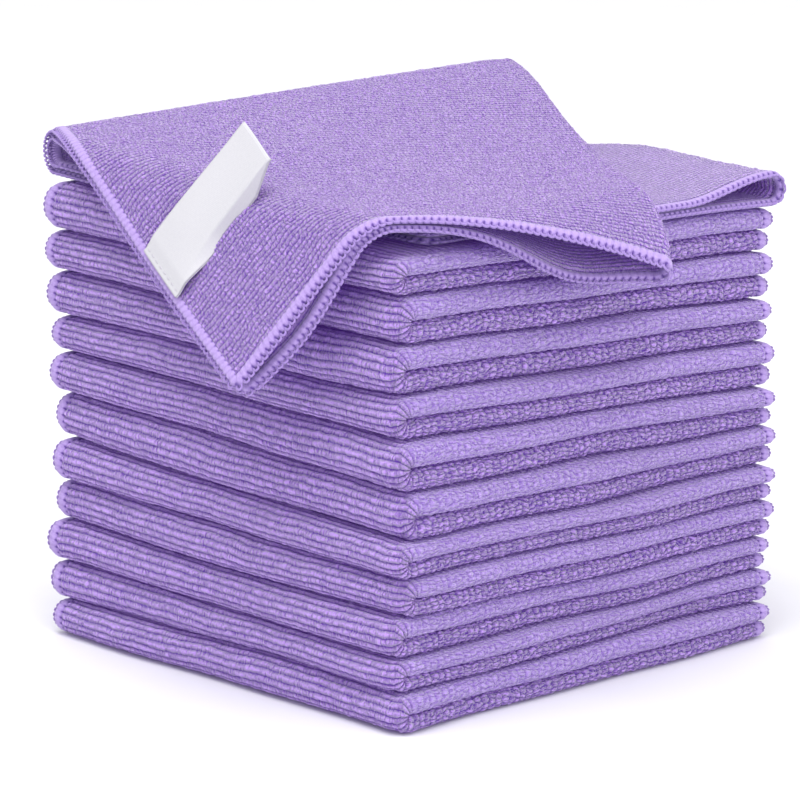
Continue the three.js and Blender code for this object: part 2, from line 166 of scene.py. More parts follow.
def pileTree(finish):
    # sinks the grooves between ribs and loops into a flat cloth, as much as its pile attribute says
    tree, given, result = geometryTree("knitPile", [
        ("Depth", "NodeSocketFloat", knit["ribDepth"]),
        ("Seed", "NodeSocketInt", 0),
    ])
    kinds = {"weave": "FLOAT_VECTOR", "pile": "FLOAT", "opened": "FLOAT", "clumped": "FLOAT"}
    marks = {name: addNode(tree, "GeometryNodeInputNamedAttribute", {"data_type": kind}, {"Name": name})
             for name, kind in kinds.items()}
    ribsOn = addNode(tree, "ShaderNodeMath", {"operation": "MULTIPLY"},
                     (given.outputs["Seed"], knit["seedStep"]))
    shift = addNode(tree, "ShaderNodeCombineXYZ", {}, {1: ribsOn})
    seeded = addNode(tree, "ShaderNodeVectorMath", {"operation": "ADD"}, (marks["weave"], shift))
    stored = addNode(tree, "GeometryNodeStoreNamedAttribute",
                     {"data_type": "FLOAT_VECTOR", "domain": "POINT"},
                     {"Geometry": given.outputs["Geometry"], "Name": "weave", "Value": seeded})
    height = knitHeight(tree, *(marks[name].outputs[0] for name in ("weave", "opened", "clumped")))
    below = addNode(tree, "ShaderNodeMath", {"operation": "SUBTRACT"}, (height, 1.0))
    sunk = addNode(tree, "ShaderNodeMath", {"operation": "MULTIPLY"}, (below, given.outputs["Depth"]))
    shared = addNode(tree, "ShaderNodeMath", {"operation": "MULTIPLY"}, (sunk, marks["pile"]))
    offset = addNode(tree, "ShaderNodeCombineXYZ", {}, {2: shared})
    moved = addNode(tree, "GeometryNodeSetPosition", {}, {"Geometry": stored, "Offset": offset})
    plain = addNode(tree, "GeometryNodeRealizeInstances", {}, {"Geometry": moved})
    dressed = addNode(tree, "GeometryNodeSetMaterial", {}, {"Geometry": plain, "Material": finish})
    tree.links.new(dressed.outputs[0], result.inputs[0])
    return tree


def evaluated(obj, tree, **values):
    # the object's mesh once the tree has run on it
    modifier = obj.modifiers.new(tree.name, "NODES")
    modifier.node_group = tree
    for item in tree.interface.items_tree:
        if item.in_out == "INPUT" and item.name in values:
            modifier[item.identifier] = values[item.name]
    depsgraph = bpy.context.evaluated_depsgraph_get()
    mesh = bpy.data.meshes.new_from_object(obj.evaluated_get(depsgraph), depsgraph=depsgraph)
    obj.modifiers.remove(modifier)
    return mesh


def pointsOf(mesh):
    points = np.zeros(len(mesh.vertices) * 3)
    mesh.vertices.foreach_get("co", points)
    return points.reshape(-1, 3)


def placed(name, mesh, points):
    # an object from a flat mesh whose points have been folded or draped
    mesh.vertices.foreach_set("co", (points / metre).ravel())
    mesh.polygons.foreach_set("use_smooth", np.ones(len(mesh.polygons), bool))
    mesh.update()
    mesh.name = name
    obj = bpy.data.objects.new(name, mesh)
    bpy.context.scene.collection.objects.link(obj)
    return obj


def smoothStep(value, low, high):
    share = np.clip((value - low) / (high - low), 0, 1)
    return share * share * (3 - 2 * share)


# ---- a flat cloth: a fine front, a coarse back and a rim between them ----
def triangulated(points, outline=None):
    # over the whole hull of the points, or inside an outline of some of them
    places = [tuple(map(float, p)) for p in points]
    bounds = [outline] if outline else []
    _, _, faces, origins, _, _ = delaunay_2d_cdt(places, [], bounds, 1 if outline else 0, 1e-6)
    faces = [tuple(origins[i][0] for i in face) for face in faces]
    turned = []
    for a, b, c in faces:
        (ax, ay), (bx, by), (cx, cy) = points[a], points[b], points[c]
        area = (bx - ax) * (cy - ay) - (by - ay) * (cx - ax)
        turned.append((a, b, c) if area > 0 else (a, c, b))
    return turned


def borderLoop(faces):
    # the outline of a flat patch, as its points in order
    after = {}
    sides = {(f[i], f[(i + 1) % len(f)]) for f in faces for i in range(len(f))}
    for a, b in sides:
        if (b, a) not in sides:
            after[a] = b
    start = min(after)
    loop = [start]
    while after[loop[-1]] != start:
        loop.append(after[loop[-1]])
    return loop


def clothMesh(name, front, faces, inner, thickness, taper, marks, weave):
    # front: flat points; inner: flat points of the back away from the rim; marks: attributes of the front
    rim = borderLoop(faces)
    count = len(front)
    back = np.array([front[i] for i in rim] + list(inner))
    backFaces = [tuple(count + i for i in reversed(f)) for f in triangulated(back, list(range(len(rim))))]
    walls = []
    for i, first in enumerate(rim):
        j = (i + 1) % len(rim)
        walls.append((first, count + i, count + j, rim[j]))
    flat = np.concatenate([front, back])
    height = np.concatenate([np.full(count, thickness / 2), np.full(len(back), -thickness / 2)])
    taper = 0.55 + 0.45 * np.concatenate([taper, np.zeros(len(rim)), np.ones(len(inner))])
    mesh = bpy.data.meshes.new(name)
    mesh.from_pydata(np.column_stack([flat, height * taper]).tolist(), [], faces + backFaces + walls)
    for mark, values in marks.items():
        mesh.attributes.new(mark, "FLOAT", "POINT").data.foreach_set(
            "value", np.concatenate([values, np.zeros(len(back))]).astype(np.float32))
    threads = np.column_stack([weave(flat), np.zeros(len(flat))])
    mesh.attributes.new("weave", "FLOAT_VECTOR", "POINT").data.foreach_set(
        "vector", threads.ravel().astype(np.float32))
    obj = bpy.data.objects.new(name, mesh)
    bpy.context.scene.collection.objects.link(obj)
    return obj


cloth = {
    "flatHalf": 144.0,      # from the middle of the cloth to its overlocked edge
    "hemWidth": 4.6,
    "hemCover": 0.6,        # how far the edge lies under the overlock
    "taper": 1.3,           # the cloth thins by the seam over this width
    "loopsByFold": 5,       # the pile is modelled over the folds, this far from their middle
    "ribsByFold": 6,
    "backStep": 12.0,
}


layer = {
    "thickness": 2.9,       # one layer of a folded towel, before it is pressed to its place
    "pressed": 0.97,        # of the room it has
}


def quarterCloth():
    # the flat cloth of a folded towel: a runs across the first fold, b across the second
    loopStep = knit["loopPitch"] / knit["loopSamples"]
    ribStep = knit["ribPitch"] / knit["ribSamples"]
    half = cloth["flatHalf"]
    columns = round(half / loopStep)
    rows = round(half / ribStep)
    foldColumns = cloth["loopsByFold"] * knit["loopSamples"]
    foldRows = cloth["ribsByFold"] * knit["ribSamples"]
    number = {}

    def point(i, j):
        return number.setdefault((i, j), len(number))

    faces = []

    def fineGrid(i0, i1, j0, j1):
        for i in range(i0, i1):
            for j in range(j0, j1):
                faces.append((point(i, j), point(i + 1, j), point(i + 1, j + 1), point(i, j + 1)))

    def coarseFill(i0, i1, j0, j1):
        # joins the fine edges round a flat stretch with few triangles
        edge = [(i, j) for (i, j) in number if i0 <= i <= i1 and j0 <= j <= j1]
        edge = [(i, j) for i, j in edge if i in (i0, i1) or j in (j0, j1)]
        stepI = round(cloth["backStep"] / loopStep)
        stepJ = round(cloth["backStep"] / ribStep)
        insideI = list(range(i0 + stepI // 2, i1 - stepI // 3, stepI))
        near = {j for j in range(-foldRows, foldRows + 1, knit["ribSamples"]) if j0 < j < j1}
        spread = range(j0 + stepJ // 2, j1 - stepJ // 3, stepJ)
        insideJ = sorted(near | {j for j in spread if abs(j) > foldRows})
        own = [(i, j) for i in (i0, i1) for j in range(j0, j1 + 1, stepJ) if abs(i) == columns]
        own += [(i, j) for j in (j0, j1) for i in range(i0, i1 + 1, stepI) if abs(j) == rows]
        own += [(i, j) for i in (i0, i1) for j in (j0, j1)]
        own += [(i, j) for i in (i0, i1) for j in near if abs(i) == columns]
        places = list(dict.fromkeys(edge + own + [(i, j) for i in insideI for j in insideJ]))
        flat = [(i * loopStep, j * ribStep) for i, j in places]
        for face in triangulated(flat):
            faces.append(tuple(point(*places[k]) for k in face))

    fineGrid(-foldColumns, foldColumns, -rows, rows)
    fineGrid(-columns, -foldColumns, -foldRows, foldRows)
    coarseFill(-columns, -foldColumns, -rows, -foldRows)
    coarseFill(-columns, -foldColumns, foldRows, rows)
    coarseFill(foldColumns, columns, -rows, rows)
    grid = np.array(list(number), float)
    front = grid * [loopStep, ribStep]
    # full pile over the folds, none where the layers lie pressed
    byFirst = 1 - smoothStep(np.abs(grid[:, 0]), foldColumns * 0.55, foldColumns)
    bySecond = (1 - smoothStep(np.abs(grid[:, 1]), foldRows * 0.7, foldRows)) * (grid[:, 0] < foldColumns)
    rim = half - np.abs(front).max(axis=1)
    taper = smoothStep(rim, 0, cloth["taper"])
    # the upper lobe of the right face: less pile, and painted paler with weaker shade, as if lit from above
    upper = smoothStep(front[:, 1], 3, 9) * byFirst
    marks = {"pile": np.maximum(byFirst, bySecond) * (1 - 0.45 * upper),
             "opened": byFirst * (1 - smoothStep(-np.abs(front[:, 1]), -12, -4)),
             "paintedLitLobe": upper}
    step = cloth["backStep"]
    line = np.arange(-half + step / 2, half, step)
    fine = np.sort(np.concatenate([line, np.arange(-9.6, 10, 2.4) + 0.1]))
    inner = [(a, b) for a in fine for b in fine if abs(a) < half - 2 and abs(b) < half - 2]
    weave = lambda flat: flat / [knit["loopPitch"], knit["ribPitch"]]
    return clothMesh("flatCloth", front, faces, inner, layer["thickness"], taper, marks, weave)



# ---- the overlocked hem ----
overlock = {
    "bandWidth": 3.4,
    "thickness": 2.6,
    "corner": 0.95,         # rounding of the band's section
    "picotPitch": 2.1,
    "picotReach": 1.15,     # beyond the band's edge
    "picotFoot": (0.75, 0.5),       # where a loop starts, along the edge and in from it
    "picotBulge": 1.75,     # how far its sides are drawn out
    "picotTwist": 0.3,
    "picotPieces": 5,
    "threadRadius": 0.42,
    "bandStep": 1.4,
    "fineStep": 0.42,       # the band's step on the top cloth, where it bends most
    "wrapDepth": 0.07,      # mm between the crown of a wrap and the dip beside it
    "wrapSlant": 0.35,      # turns that a wrap slants over the band's width
    "wrapCurve": 0.5,
}


def wrapHeight(tree, along, across):
    # 1 on the crown of a thread wrapped over the band, 0 between two
    slanted = addNode(tree, "ShaderNodeMath", {"operation": "MULTIPLY"},
                      (across, overlock["wrapSlant"] / overlock["bandWidth"]))
    turns = addNode(tree, "ShaderNodeMath", {"operation": "DIVIDE"}, (along, overlock["picotPitch"]))
    both = addNode(tree, "ShaderNodeMath", {"operation": "ADD"}, (turns, slanted))
    angle = addNode(tree, "ShaderNodeMath", {"operation": "MULTIPLY"}, (both, math.pi))
    wave = addNode(tree, "ShaderNodeMath", {"operation": "SINE"}, (angle,))
    arch = addNode(tree, "ShaderNodeMath", {"operation": "ABSOLUTE"}, (wave,))
    return addNode(tree, "ShaderNodeMath", {"operation": "POWER"}, (arch, overlock["wrapCurve"]))


def hemTree(finish):
    # a wrapped band with a row of picot loops along the right-hand side of a flat path
    tree, given, result = geometryTree("overlockHem", [
        ("Band width", "NodeSocketFloat", overlock["bandWidth"]),
        ("Thickness", "NodeSocketFloat", overlock["thickness"]),
        ("Picot pitch", "NodeSocketFloat", overlock["picotPitch"]),
        ("Thread radius", "NodeSocketFloat", overlock["threadRadius"]),
        ("Band step", "NodeSocketFloat", overlock["bandStep"]),
        ("Wrap depth", "NodeSocketFloat", overlock["wrapDepth"]),
    ])
    path = addNode(tree, "GeometryNodeMeshToCurve", {}, {"Mesh": given.outputs["Geometry"]})
    upright = addNode(tree, "GeometryNodeSetCurveNormal", {"mode": "Z_UP"}, {"Curve": path})
    section = addNode(tree, "GeometryNodeCurvePrimitiveQuadrilateral", {},
                      {"Width": given.outputs["Band width"], "Height": given.outputs["Thickness"]})
    rounded = addNode(tree, "GeometryNodeFilletCurve", {"mode": "POLY"},
                      {"Curve": section, "Radius": overlock["corner"], "Count": 2, "Limit Radius": True})
    spot = addNode(tree, "ShaderNodeSeparateXYZ", {}, (addNode(tree, "GeometryNodeInputPosition"),))
    profile = addNode(tree, "GeometryNodeStoreNamedAttribute", {"data_type": "FLOAT", "domain": "POINT"},
                      {"Geometry": rounded, "Name": "threadAcross", "Value": spot.outputs[0]})
    stations = addNode(tree, "GeometryNodeResampleCurve", {"mode": "LENGTH"},
                       {"Curve": upright, "Length": given.outputs["Band step"]})
    reach = addNode(tree, "GeometryNodeSplineParameter")
    marked = addNode(tree, "GeometryNodeStoreNamedAttribute", {"data_type": "FLOAT", "domain": "POINT"},
                     {"Geometry": stations, "Name": "threadAlong", "Value": reach.outputs["Length"]})
    band = addNode(tree, "GeometryNodeCurveToMesh", {},
                   {"Curve": marked, "Profile Curve": profile, "Fill Caps": True})
    along, across = (addNode(tree, "GeometryNodeInputNamedAttribute", {"data_type": "FLOAT"}, {"Name": name})
                     for name in ("threadAlong", "threadAcross"))
    wrap = wrapHeight(tree, along, across)
    below = addNode(tree, "ShaderNodeMath", {"operation": "SUBTRACT"}, (wrap, 1.0))
    sunk = addNode(tree, "ShaderNodeMath", {"operation": "MULTIPLY"}, (below, given.outputs["Wrap depth"]))
    inward = addNode(tree, "ShaderNodeVectorMath", {"operation": "SCALE"},
                     {0: addNode(tree, "GeometryNodeInputNormal"), "Scale": sunk})
    ridged = addNode(tree, "GeometryNodeSetPosition", {}, {"Geometry": band, "Offset": inward})
    spots = addNode(tree, "GeometryNodeResampleCurve", {"mode": "LENGTH"},
                    {"Curve": upright, "Length": given.outputs["Picot pitch"]})
    # a curve reaches about two thirds of the way to its handles
    outer = overlock["picotReach"] * 1.55
    foot, rise = overlock["picotFoot"]
    bulge, twist = overlock["picotBulge"], overlock["picotTwist"]
    loopLine = addNode(tree, "GeometryNodeCurvePrimitiveBezierSegment", {}, {
        "Resolution": overlock["picotPieces"],
        "Start": (-foot, rise, 0.0),
        "Start Handle": (-bulge, -outer, twist),
        "End Handle": (bulge, -outer, -twist),
        "End": (foot, rise, 0.0),
    })
    ring = addNode(tree, "GeometryNodeCurvePrimitiveCircle", {},
                   {"Resolution": 4, "Radius": given.outputs["Thread radius"]})
    picot = addNode(tree, "GeometryNodeCurveToMesh", {},
                    {"Curve": loopLine, "Profile Curve": ring, "Fill Caps": True})
    facing = addNode(tree, "FunctionNodeAlignRotationToVector", {"axis": "X", "pivot_axis": "Z"},
                     {"Vector": addNode(tree, "GeometryNodeInputTangent")})
    edge = addNode(tree, "ShaderNodeVectorMath", {"operation": "CROSS_PRODUCT"},
                   (addNode(tree, "GeometryNodeInputTangent"), (0.0, 0.0, 1.0)))
    halfBand = addNode(tree, "ShaderNodeMath", {"operation": "MULTIPLY"}, (given.outputs["Band width"], 0.5))
    out = addNode(tree, "ShaderNodeVectorMath", {"operation": "SCALE"}, {0: edge, "Scale": halfBand})
    atEdge = addNode(tree, "GeometryNodeSetPosition", {}, {"Geometry": spots, "Offset": out})
    loops = addNode(tree, "GeometryNodeInstanceOnPoints", {},
                    {"Points": atEdge, "Instance": picot, "Rotation": facing})
    both = addNode(tree, "GeometryNodeJoinGeometry")
    for part in (loops, ridged):
        tree.links.new(part.outputs[0], both.inputs[0])
    plain = addNode(tree, "GeometryNodeRealizeInstances", {}, {"Geometry": both})
    dressed = addNode(tree, "GeometryNodeSetMaterial", {}, {"Geometry": plain, "Material": finish})
    tree.links.new(dressed.outputs[0], result.inputs[0])
    return tree


def pathObject(name, points, closed):
    # a flat line as mesh edges
    count = len(points)
    edges = [(i, (i + 1) % count) for i in range(count if closed else count - 1)]
    mesh = bpy.data.meshes.new(name)
    mesh.from_pydata([(x, y, 0.0) for x, y in points], edges, [])
    obj = bpy.data.objects.new(name, mesh)
    bpy.context.scene.collection.objects.link(obj)
    return obj


def roundedPath(corners, radius, closed, steps=3):
    # straight lines with an arc at each corner
    points = []
    count = len(corners)
    for i, corner in enumerate(corners):
        here = np.array(corner, float)
        if not closed and i in (0, count - 1):
            points.append(here)
            continue
        before = np.array(corners[i - 1], float) - here
        after = np.array(corners[(i + 1) % count], float) - here
        before /= np.linalg.norm(before)
        after /= np.linalg.norm(after)
        for k in range(steps + 1):
            turn = math.pi / 2 * k / steps
            points.append(here + radius * (before * (1 - math.sin(turn)) + after * (1 - math.cos(turn))))
    return points


# ---- the pile ----
pile = {
    "count": 11,
    "rest": 0.3,            # mm between a towel and the next
    # how much higher than level each towel's top lies at the front, left and right corners
    "leanFront": [1.1, 0.4, 0.7, 0.2, -0.8, 0.2, 1.8, 2.0, 3.0, 3.8, 1.8],
    "leanLeft": [-0.3, 1.0, 2.0, 2.7, 4.1, 4.7, 4.1, 2.6, 2.3, 1.2, 2.5],
    "leanRight": [0.2, -0.3, -1.7, -1.9, -2.7, -4.2, -5.1, -3.9, -4.5, -4.1, -3.4],
    "wave": 0.45,           # mm that a surface rises and falls
    "waveLengths": (21, 33, 13, 17),    # mm to a radian
    "sway": 0.7,            # mm that a fold wanders in and out
    "swayLengths": (24, 9, 27, 10),
    "overhang": 0.9,        # mm that the upper lobe of the right face stands out, and the lower one back
    "lobeEdge": 7,          # mm of cloth from one lobe to the other
    "cornerRound": 7.0,     # plan radius where the two folds meet
    "seed": 12,
}


def sizesOf(k):
    # a towel's room, from its solids in the frame
    low, high = (np.array(c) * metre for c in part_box(f"towel_{k:02d}"))
    hemLow, hemHigh = (np.array(c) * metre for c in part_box(f"hem_{k:02d}"))
    return {"left": hemLow[0], "right": high[0], "front": low[1], "back": hemHigh[1],
            "base": low[2], "top": high[2]}


rooms = [sizesOf(k) for k in range(1, pile["count"] + 1)]
drawn = np.random.default_rng(pile["seed"])
waves = drawn.uniform(0, 2 * math.pi, (pile["count"] + 1, 6))


def levelAt(k, x, y):
    # height of the surface under towel k + 1
    if k == 0:
        return np.zeros_like(x)
    side = rooms[0]["right"]
    front, left, right = (pile[n][k - 1] for n in ("leanFront", "leanLeft", "leanRight"))
    lean = front + (left - front) * (side - x) / (2 * side) + (right - front) * (y + side) / (2 * side)
    p = waves[k]
    lengths = pile["waveLengths"]
    broad = np.sin(x / lengths[0] + p[0]) * np.sin(y / lengths[1] + p[1])
    narrow = np.sin(y / lengths[2] + p[2] + np.sin(x / lengths[3] + p[3]))
    return rooms[k - 1]["top"] + lean + pile["wave"] * (broad + 0.6 * narrow)


def foldedPlace(k, flat):
    # folds a flat cloth in quarters into towel k's room
    room = rooms[k - 1]
    pitch = (room["top"] - room["base"]) / 4
    a, b, h = flat[:, 0], flat[:, 1], flat[:, 2] * pitch * layer["pressed"] / layer["thickness"]
    half = cloth["flatHalf"]
    rimInset = cloth["hemWidth"] - cloth["hemCover"]

    def along(c, radius, span):
        # distance from the fold's centre line, with the arc's part taken out
        arc = math.pi * radius / 2
        scale = (span - rimInset) / (half - arc)
        beyond = np.maximum(np.abs(c) - half, 0)
        return np.maximum(np.minimum(np.abs(c), half) - arc, 0) * scale + beyond, arc

    firstSpan = room["right"] - pitch - room["left"]
    secondSpan = room["back"] - room["front"] - 2 * pitch
    backA, arcA = along(a, pitch, firstSpan)
    backB, arcB = along(b, 2 * pitch, secondSpan)
    theta = np.clip(a / arcA, -1, 1) * math.pi / 2 + math.pi / 2
    phi = np.clip(b / arcB, -1, 1) * math.pi / 2 + math.pi / 2
    reach = pitch / 2 + h
    x = room["right"] - pitch - backA + reach * np.sin(theta)
    lift = reach * np.cos(theta)
    y = room["front"] + 2 * pitch + backB - (pitch + lift) * np.sin(phi)
    z = 2 * pitch - (pitch + lift) * np.cos(phi)
    # the fold edges wander a little, and the corner between them is round
    p = waves[k]
    sway, lengths = pile["sway"], pile["swayLengths"]
    inX = (x - room["left"]) / (room["right"] - room["left"])
    inY = (room["back"] - y) / (room["back"] - room["front"])
    swayX = np.sin(y / lengths[0] + p[4]) + 0.5 * np.sin(y / lengths[1] + p[5]) - 0.6
    swayY = np.sin(x / lengths[2] + p[5]) + 0.5 * np.sin(x / lengths[3] + p[2]) - 0.6
    overhang = pile["overhang"] * (np.tanh(b / pile["lobeEdge"]) - 0.6) * inX ** 3
    dx = np.maximum(x - (room["right"] - pile["cornerRound"]), 0)
    dy = np.maximum(room["front"] + pile["cornerRound"] - y, 0)
    shrink = 1 - np.maximum(dx, dy) / np.maximum(np.hypot(dx, dy), 1e-9)
    x = x - dx * shrink + sway * swayX * inX ** 3 + overhang
    y = y + dy * shrink - sway * swayY * inY ** 3
    low = levelAt(k - 1, x, y)
    high = levelAt(k, x, y) - pile["rest"]
    return np.column_stack([x, y, low + (high - low) * z / (4 * pitch)])


# ---- the top cloth ----
drape = {
    "creaseFront": (-77.0, -69.0),
    "creaseBack": (-42.0, 74.0),
    "turn": 29.0,           # degrees between the loose half and the pile
    "reach": 131.0,         # along the hem to the hanging corner
    "side": 150.0,
    "plateau": 145.2,       # height of the loose half where it lies flat
    "liftFront": 4.5,       # how much higher it stands at the roll
    "liftBack": 14.0,
    "liftFade": 64.0,
    "sag": 4.0,             # how much lower it lies towards the back corner
    "frontBend": (13.0, 66.0),      # radius and angle where it bends down over the pile's edge
    "sideBend": (44.0, 51.0),
    "bendInset": 4.0,
    "ripple": 0.5,
    "layer": 2.2,
    "rollFlat": 28.0,       # mm of cloth in the roll
    "foldFlat": 4.0,        # half the cloth in the first fold
    "hangs": ((11.0, 127, 25), (2.5, 20, 22)),  # inner layer's hang at the open edge: mm, where, how wide
    "inwardLonger": (3.2, 30, 26),  # how much further out the inner layer comes: the same
    "lowerShort": 14.0,     # cloth that the lower half gives up to the roll
    "openRise": 6.0,        # how far the first fold stands open at the back
    "frontRetreat": 16.0,   # how far the hidden front edge of the lower half lies back by the right corner
    "deepTo": 9.0,          # the pile is modelled as far as this past the first fold
    "relief": 0.8,
    "ribPitch": 1.75,       # the knit lies closer where it isn't stretched round a fold
    "loopPitch": 1.35,
    "opened": 0.6,
    "blendRun": 34.0,       # mm of the loose half that bend when it is opened
}
half = drape["side"] / 2
creaseStart = np.array(drape["creaseFront"])
crease = np.array(drape["creaseBack"]) - creaseStart
creaseLength = np.linalg.norm(crease)
crease = crease / creaseLength
creaseNormal = np.array([crease[1], -crease[0]])
turnAngle = math.radians(drape["turn"])
hemWay = np.array([math.cos(turnAngle), -math.sin(turnAngle)])
awayWay = np.array([math.sin(turnAngle), math.cos(turnAngle)])
foldEnd = drape["side"] - drape["layer"]
lowerReach = drape["rollFlat"] + drape["side"] - drape["lowerShort"]


def bend(run, shape):
    radius, angle = shape[0], math.radians(shape[1])
    turned = np.minimum(run, radius * angle)
    straight = np.maximum(run - radius * angle, 0)
    return (radius * np.sin(turned / radius) + straight * math.cos(angle),
            radius * (1 - np.cos(turned / radius)) + straight * math.sin(angle))


def flapTop(x, y):
    # the loose half's upper surface over a point of the flat, turned cloth
    dx, dy = x - creaseStart[0], y - creaseStart[1]
    distance = dx * creaseNormal[0] + dy * creaseNormal[1]
    along = dx * crease[0] + dy * crease[1]
    settled = np.clip((x + y + 2 * half) / (4 * half), 0, 1)
    rise = drape["liftBack"] - drape["liftFront"]
    lift = drape["liftFront"] + rise * np.clip(along / creaseLength, 0, 1)
    z = drape["plateau"] + lift * np.exp(-(np.maximum(distance, 0) / drape["liftFade"]) ** 2)
    z = z - drape["sag"] * settled ** 2
    frontRun = np.maximum(0, -(y + half - drape["bendInset"]))
    sideRun = np.maximum(0, x - half + drape["bendInset"])
    frontOut, frontDown = bend(frontRun, drape["frontBend"])
    sideOut, sideDown = bend(sideRun, drape["sideBend"])
    ripple = drape["ripple"] * np.sin(x / 19 + 1) * np.sin(y / 23 + 2) * smoothStep(distance, 5, 40)
    return np.stack([x - sideRun + sideOut, y + frontRun - frontOut, z - frontDown - sideDown + ripple], -1)


def flapPlace(u, v, depth):
    # a point of the loose half: along the hem, away from it, and down through its layers
    x = creaseStart[0] + hemWay[0] * u + awayWay[0] * v
    y = creaseStart[1] + hemWay[1] * u + awayWay[1] * v
    step = 0.5
    p = flapTop(x, y)
    n = np.cross(flapTop(x + step, y) - flapTop(x - step, y), flapTop(x, y + step) - flapTop(x, y - step))
    n /= np.linalg.norm(n, axis=-1, keepdims=True)
    return p - n * depth[..., None]


def creaseAt(v):
    return -v * (awayWay @ creaseNormal) / (hemWay @ creaseNormal)


def hump(v, shape):
    # a soft rise of some height, at some place, of some width
    height, middle, width = shape
    return height * np.exp(-((v - middle) / width) ** 2)


def flapGap(u, v):
    # how far the lower layer sags away from the upper one at the open edge
    hang = sum(hump(v, shape) for shape in drape["hangs"])
    return drape["layer"] + hang * smoothStep(u, 60, drape["reach"])


def flapExtra(u, v):
    # the inner layer takes the shorter way over the edge, so it comes out longer
    return hump(v, drape["inwardLonger"]) * smoothStep(u, 40, drape["reach"])


def pairPlace(flat, place, gap, end, thickness):
    # two layers joined by a fold at v = end; q runs from the outer layer over the fold to the inner
    s, q, h = flat[:, 0], flat[:, 1], flat[:, 2]
    arc = drape["foldFlat"]
    v = end - np.maximum(np.abs(q) - arc, 0)
    apart = gap(s, v)
    psi = (np.clip(q / arc, -1, 1) + 1) * math.pi / 2
    radius = apart / 2
    away = np.where(np.abs(q) < arc, (radius + h) * np.sin(psi), 0)
    depth = thickness / 2 + radius - (radius + h) * np.cos(psi)
    return place(s, v + away, depth, q > 0)


def flapFold(flat):
    # the loose half, from the crease out to its open edge
    def place(u, v, depth, inner):
        share = np.where(inner, 1.0, 0.0) * np.clip((depth - 1) / 3, 0, 1)
        cut = np.maximum(u, creaseAt(v))
        return flapPlace(cut + flapExtra(cut, v) * share, v, depth)

    return pairPlace(flat, place, flapGap, foldEnd, drape["layer"])


def lowerGap(s, v):
    # the first fold of the lower half stands open at the back
    rise = smoothStep(v, 112, drape["side"] - 2) * smoothStep(s, 40, 110)
    return drape["layer"] + drape["openRise"] * rise


def lowerFold(flat):
    # the roll under the crease, then the lower half out to its hem at the right
    rolled = drape["rollFlat"]
    count = pile["count"]

    def place(s, v, depth, inner):
        along = creaseAt(v) * (hemWay @ crease) + v * (awayWay @ crease)
        foot = creaseStart + crease * along[:, None]
        under = levelAt(count, foot[:, 0], foot[:, 1]) + pile["rest"]
        crown = flapPlace(creaseAt(v), v, depth)
        centre = (crown[:, 2] + depth + under) / 2
        radius = centre - under - depth
        part = np.clip(s / rolled, 0, 1)
        swing = part * math.pi
        slip = np.where(part < 1, (1 - part) ** 2, 0)[:, None] * (crown[:, :2] - foot)
        plan = foot - creaseNormal * (radius * np.sin(swing))[:, None] + slip
        rollZ = centre + radius * np.cos(swing)
        share = np.maximum(s - rolled, 0) / (lowerReach - rolled)
        retreat = drape["frontRetreat"] * smoothStep(share, 0.4, 0.85) * (1 - smoothStep(v, 0, 90))
        targetY = -half + 0.4 + v + retreat
        right = rooms[-1]["right"] + 0.4 - retreat * 0.4
        x = plan[:, 0] + share * (right - foot[:, 0])
        y = plan[:, 1] + share * (targetY - foot[:, 1])
        flatZ = levelAt(count, x, y) + pile["rest"] + depth
        blendIn = smoothStep(s, rolled * 0.9, rolled * 1.25)
        z = np.where(s > rolled * 0.9, rollZ + (flatZ - rollZ) * blendIn, rollZ)
        return np.column_stack([x, y, z])

    return pairPlace(flat, place, lowerGap, foldEnd, drape["layer"])


def pairCloth(name, low, high, start, step, coarse):
    # a flat half cloth: s from low to high, q over both layers; start(v) is where a row begins
    rim = cloth["hemWidth"] - cloth["hemCover"]
    most = foldEnd - rim + drape["foldFlat"]
    deepTo = drape["deepTo"]
    sRow = np.linspace(low, high, round((high - low) / step) + 1)
    fineQ = np.linspace(-most, deepTo, round((most + deepTo) / step) + 1)
    coarseQ = np.linspace(deepTo, most, round((most - deepTo) / coarse) + 1)[1:]
    gridS, gridQ = np.meshgrid(sRow, np.concatenate([fineQ, coarseQ]), indexing="ij")
    v = foldEnd - np.maximum(np.abs(gridQ) - drape["foldFlat"], 0)
    clampedS = np.maximum(gridS, start(v))
    keys = np.round(np.stack([clampedS, gridQ], -1).reshape(-1, 2), 6)
    flat, index = np.unique(keys, axis=0, return_inverse=True)
    index = index.reshape(gridS.shape)
    quads = np.stack([index[:-1, :-1], index[1:, :-1], index[1:, 1:], index[:-1, 1:]], -1)
    faces = []
    for quad in quads.reshape(-1, 4).tolist():
        kept = list(dict.fromkeys(quad))
        if len(kept) > 2:
            faces.append(tuple(kept))
    backS = np.arange(low + coarse, high - coarse / 2, coarse)
    backQ = np.arange(-most + coarse, most - coarse / 2, coarse)
    inner = [(s, q) for s in backS for q in backQ
             if s > start(np.array(foldEnd - max(abs(q) - drape["foldFlat"], 0))) + coarse / 2]
    edge = np.minimum(high - flat[:, 0], most - np.abs(flat[:, 1]))
    taper = smoothStep(edge, 0, cloth["taper"])
    deep = np.where(flat[:, 1] < deepTo, 1.0, 0.0)
    weave = lambda p: np.column_stack([p[:, 1] / drape["loopPitch"], p[:, 0] / drape["ribPitch"]])
    marks = {"pile": deep * smoothStep(edge, 0, 2) * drape["relief"],
             "opened": np.full(len(flat), drape["opened"]),
             "paintedLitLobe": np.zeros(len(flat)),
             "clumped": deep}
    return clothMesh(name, flat, faces, inner, drape["layer"], taper, marks, weave)


def pairHemPath(start, reach, radius):
    # along the front edge, round both layers' open edge, and back along the lower layer
    centre = overlock["picotReach"] + overlock["bandWidth"] / 2
    most = foldEnd + drape["foldFlat"] - centre
    far = reach - centre
    return roundedPath([(start, -most), (far, -most), (far, most), (start, most)], radius, False)


